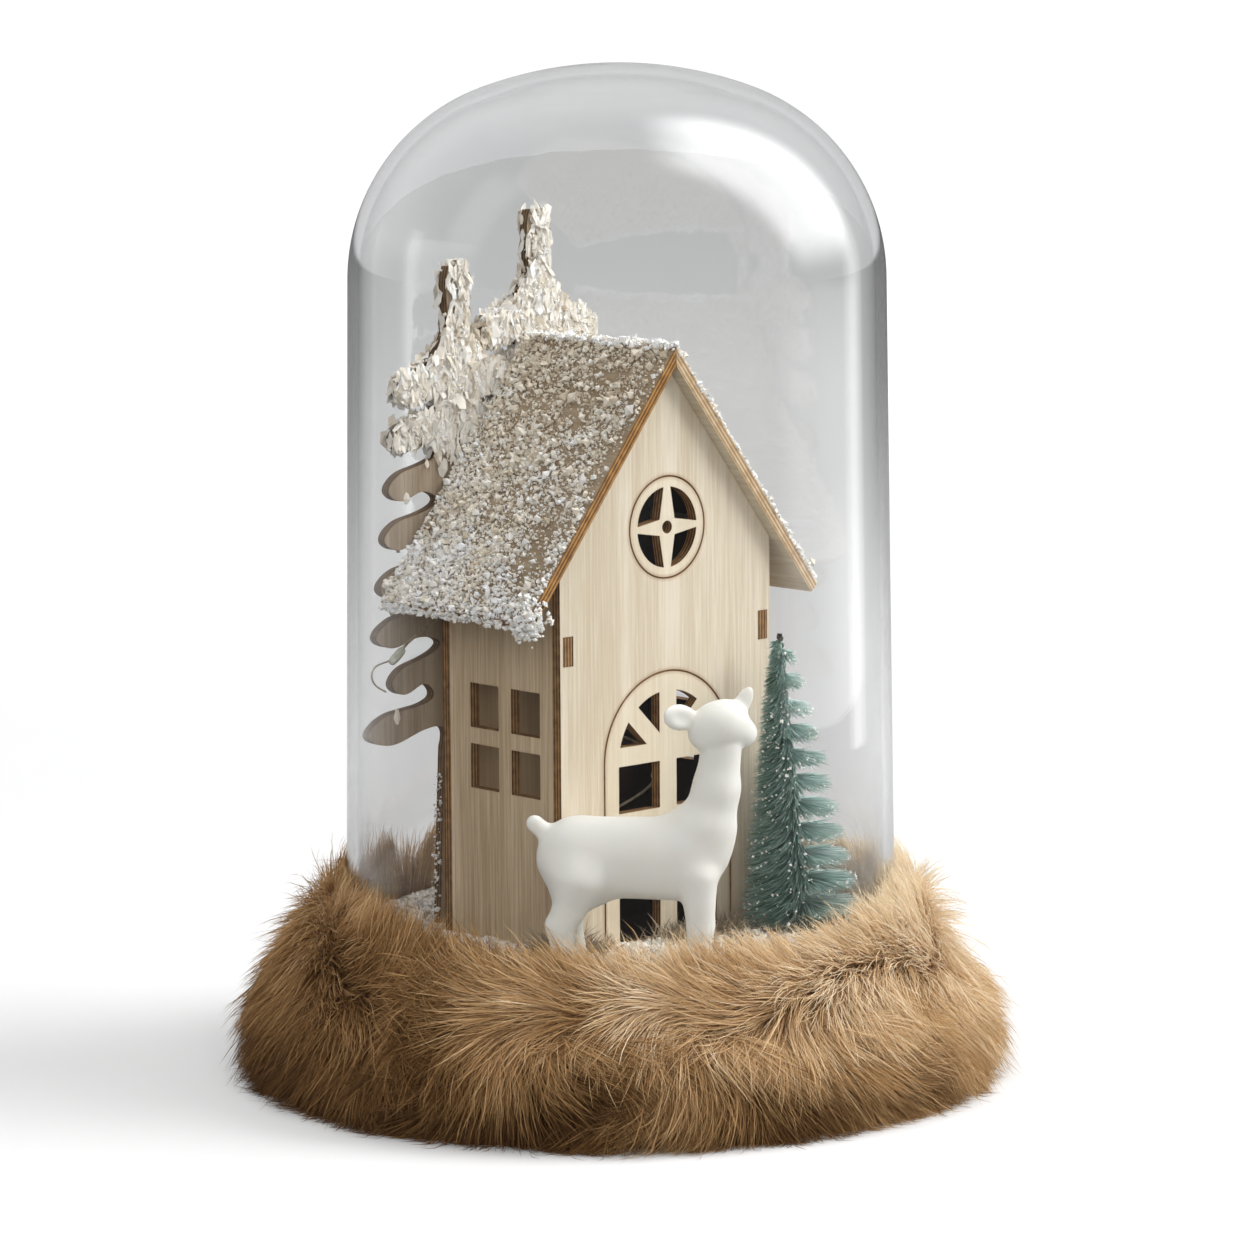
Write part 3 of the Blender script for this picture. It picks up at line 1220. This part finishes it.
def make_lamp_lead(wire, resin):
    """Lead of the last lamp, out from under the eave to a drop of resin, and a loose loop beyond it."""
    start = np.array([side_low[0], back_high[1] + 1.0, roof_low[2]])
    lead = curve_through(start + [(-1.7, 0, -3.0), (-6.3, 0, -5.4), (-9.8, 0, -7.4), (-13.0, 0, -10.2)])
    loop = curve_through(start + [
        (-12.6, 0.2, -10.0), (-15.0, 0.4, -10.9), (-18.0, 0.2, -11.6),
        (-19.2, 0, -13.5), (-18.4, -0.2, -15.7), (-16.0, -0.4, -17.3),
    ])
    new_piece("lamp_lead", joined([tube(lead, 0.36), tube(loop, 0.2)]), wire, smooth=True)
    part = np.linspace(-1, 1, 15)
    path = start + np.array([-12.6, 0, -9.9]) + part[:, None] * np.array([-1.9, 0.1, -1.6])
    drop = tube(path, 0.95 * np.sqrt(1 - part ** 4) + 0.01, 14)
    new_piece("lamp_drop", drop, resin, smooth=True)


# Floor, lights and camera.

def make_floor():
    """Pale studio floor. It looks a little brighter than it is, as on a lit white table, and bounces less."""
    bpy.ops.mesh.primitive_plane_add(size=80)
    floor = bpy.context.object
    floor.name = "studio_floor"
    shader = Shader("studio_floor")
    direct = shader.seen_directly()
    path = shader.node("LightPath").outputs
    colour = shader.mix(shader.noise(0.002, 2), (0.78, 0.78, 0.78), (0.8, 0.8, 0.8))
    beyond = shader.along(shader.place(), -to_viewer)
    mirrored = shader.mix(shader.between(beyond, -100.0, 400.0), (0.1, 0.1, 0.1), (0.7, 0.7, 0.7))
    dim = shader.mix(shader.maths("MINIMUM", path["Glossy Depth"], 1.0), (0.3, 0.29, 0.28), mirrored)
    colour = shader.mix(path["Is Transmission Ray"], colour, (0.53, 0.53, 0.53))
    colour = shader.mix(direct, dim, colour)
    paint = shader.principled(Base_Color=colour, Roughness=0.9, Specular_IOR_Level=0.0)
    away = shader.node("VectorMath", {"operation": "LENGTH"}, {0: shader.place()}).outputs["Value"]
    lit = shader.between(away, 110.0, 1700.0, 0.07, 0.8)
    seen = shader.maths("MAXIMUM", path["Is Camera Ray"], shader.times(path["Is Transmission Ray"], 0.52))
    glow = shader.white_glow(shader.times(shader.times(seen, lit), direct))
    floor.data.materials.append(shader.done(shader.both("AddShader", paint, glow)))


def aim(holder, direction, distance):
    """Put a light or a card in a direction (right, front, up) from the middle of the object, facing it."""
    right, front, up = direction
    middle = Vector((0, 0, dome_high[2] / 2 * MM))
    offset = Vector(to_right * right + to_viewer * front + upward * up).normalized() * distance
    holder.location = middle + offset
    holder.rotation_euler = (-offset).to_track_quat("-Z", "Y").to_euler()


def area_light(name, direction, distance, size, power):
    light = bpy.data.lights.new(name, "AREA")
    light.shape = "RECTANGLE"
    light.size, light.size_y = size
    light.energy = power
    holder = bpy.data.objects.new(name, light)
    aim(holder, direction, distance)
    holder.visible_glossy = False
    holder.visible_transmission = False
    bpy.context.scene.collection.objects.link(holder)


def reflector_card(name, direction, distance, size, strength):
    """Soft-edged bright card that is seen only as a reflection in the glass."""
    bpy.ops.mesh.primitive_plane_add(size=2)
    card = bpy.context.object
    card.name = name
    aim(card, direction, distance)
    card.scale = (size[0] / 2, size[1] / 2, 1)
    shader = Shader(name)
    parts = shader.parts(shader.node("TexCoord").outputs["Object"])
    fades = [shader.between(shader.apart(parts[axis]), 0.45, 1.0, 1.0, 0.0) for axis in ("X", "Y")]
    glow = shader.white_glow(shader.times(shader.times(*fades), strength))
    clear = shader.node("BsdfTransparent").outputs["BSDF"]
    card.data.materials.append(shader.done(shader.both("AddShader", glow, clear)))
    card.visible_camera = False
    card.visible_diffuse = False
    card.visible_shadow = False


def make_lights():
    area_light("key", (0.85, -0.05, 0.62), 1.1, (0.55, 0.7), 11)
    area_light("fill", (0.0, 1.0, 0.3), 1.6, (1.2, 1.0), 11.5)
    area_light("left", (-0.85, 0.6, 0.5), 1.6, (1.0, 1.0), 6)
    area_light("top", (0.0, -0.1, 1.0), 1.3, (0.9, 0.9), 5.5)
    reflector_card("softbox_reflection", (0.68, -0.12, 0.68), 1.2, (1.2, 2.0), 5.0)
    reflector_card("window_reflection", (-0.75, 0.25, 0.6), 1.2, (0.5, 1.0), 0.8)
    reflector_card("wall_reflection", (1.0, -0.1, -0.08), 0.6, (0.7, 0.22), 1.0)
    reflector_card("side_reflection", (0.9, -0.42, 0.1), 0.5, (0.12, 0.6), 1.2)


def make_world():
    """Even white surroundings, which glass mirrors more darkly on the viewer's side, so that it stays clear."""
    shader = Shader("studio", world=True)
    direction = shader.node("TexCoord").outputs["Generated"]
    colour = shader.ramp(shader.parts(direction)["Z"], [(0.0, (0.85, 0.85, 0.86)), (0.6, (1.0, 1.0, 1.0))])
    mirrored = shader.between(shader.along(direction, -to_viewer), -0.2, 0.7, 0.08, 0.8)
    glossy = shader.maths("MINIMUM", shader.node("LightPath").outputs["Glossy Depth"], 1.0)
    dim = shader.between(glossy, 0.0, 1.0, 0.38, mirrored)
    strength = shader.between(shader.seen_directly(), 0.0, 1.0, dim, 0.86)
    sky = shader.node("Background", inputs={"Color": colour, "Strength": strength}).outputs["Background"]
    bpy.context.scene.world = shader.done(sky)


def make_camera():
    """About 43 degrees round from the house's front and 8 degrees up, from a metre away."""
    target = np.array([house_x, house_y, 92.7])
    elevation = math.radians(8.4)
    distance = 1062.7
    place = target + distance * (to_viewer * math.cos(elevation) + upward * math.sin(elevation))
    camera = bpy.data.cameras.new("camera")
    camera.lens = 141.1
    camera.sensor_width = 36
    camera.shift_x = 0.0102
    camera.shift_y = 0.0186
    camera.clip_end = 100
    holder = bpy.data.objects.new("camera", camera)
    holder.location = Vector(place * MM)
    look = Vector((target - place) * MM).to_track_quat("-Z", "Y").to_matrix().to_4x4()
    roll = Matrix.Rotation(math.radians(-0.374), 4, "Z")
    holder.rotation_euler = (look @ roll).to_euler()
    bpy.context.scene.collection.objects.link(holder)
    bpy.context.scene.camera = holder


# The whole scene.

def dress_house():
    veneer = (srgb(236, 225, 205), srgb(214, 198, 171))
    darker_veneer = (srgb(222, 201, 170), srgb(184, 160, 128))
    edges = (srgb(88, 61, 34), srgb(170, 130, 84))
    front_ply = ply_material("birch_ply_front", (0, 1, 0), veneer, edges, lines=front_wall_lines)
    side_ply = ply_material("birch_ply_sides", (1, 0, 0), darker_veneer, edges)
    dress("house_front_wall", front_ply)
    dress("house_back_wall", ply_material("birch_ply_back", (0, 1, 0), veneer, edges))
    dress("house_left_wall", side_ply)
    dress("house_right_wall", side_ply)
    pitch = math.radians(51.9)
    grain = (0.5, 0.03, 0.5)
    dress("roof_left_panel", ply_material(
        "roof_ply_left", (-math.sin(pitch), 0, math.cos(pitch)), (srgb(176, 158, 132), srgb(146, 126, 100)),
        (srgb(104, 66, 30), srgb(190, 142, 78)), grain))
    dress("roof_right_panel", ply_material(
        "roof_ply_right", (math.sin(pitch), 0, math.cos(pitch)), (srgb(226, 216, 198), srgb(202, 188, 164)),
        (srgb(168, 134, 94), srgb(224, 202, 168)), grain))


def dress_rest(wire, resin):
    fir = ply_material("fir_ply", (0, 1, 0), (srgb(190, 172, 150), srgb(160, 142, 120)),
                       (srgb(84, 64, 44), srgb(140, 114, 84)))
    black = plastic_material("box_plastic", srgb(38, 38, 40), 0.5)
    contacts = metal_material("contact_metal", srgb(206, 204, 198), 0.28, (2, 0.1, 0.1))
    finishes = {
        "fir_tree_short": fir,
        "fir_tree_tall": fir,
        "base_board": base_wood_material(),
        "felt_pad": felt_material(),
        "light_wire": wire,
        "light_beads": resin,
        "battery_box": black,
        "battery_cover": black,
        "switch_knob": plastic_material("knob_plastic", srgb(60, 60, 62), 0.4),
        "switch_body": metal_material("switch_metal", srgb(196, 196, 194), 0.3, (0.1, 2, 2)),
        "batteries": can_material(),
        "contact_plates": contacts,
        "contact_springs": contacts,
        "series_resistor": resistor_material(),
        "box_screws": metal_material("screw_steel", srgb(188, 188, 186), 0.3, (1, 1, 1)),
    }
    for node, material in finishes.items():
        dress(node, material)


def main():
    granule = granule_material()
    wire = wire_material()
    resin = resin_material()
    make_dome(glass_material())
    make_fur(fur_material(), hide_material())
    make_snow_bed(snow_bed_material(), granule, straw_material())
    make_roof_snow(granule)
    make_fir_snow(granule)
    make_deer(bisque_material())
    make_brush_stem(metal_material("stem_wire", srgb(150, 148, 142), 0.35, (0.5, 0.5, 0.5)))
    make_bristles(bristle_material(), granule)
    make_lamp_lead(wire, resin)
    dress_house()
    dress_rest(wire, resin)
    make_floor()
    make_lights()
    make_world()
    make_camera()
    bpy.context.scene.view_settings.view_transform = "Standard"


main()
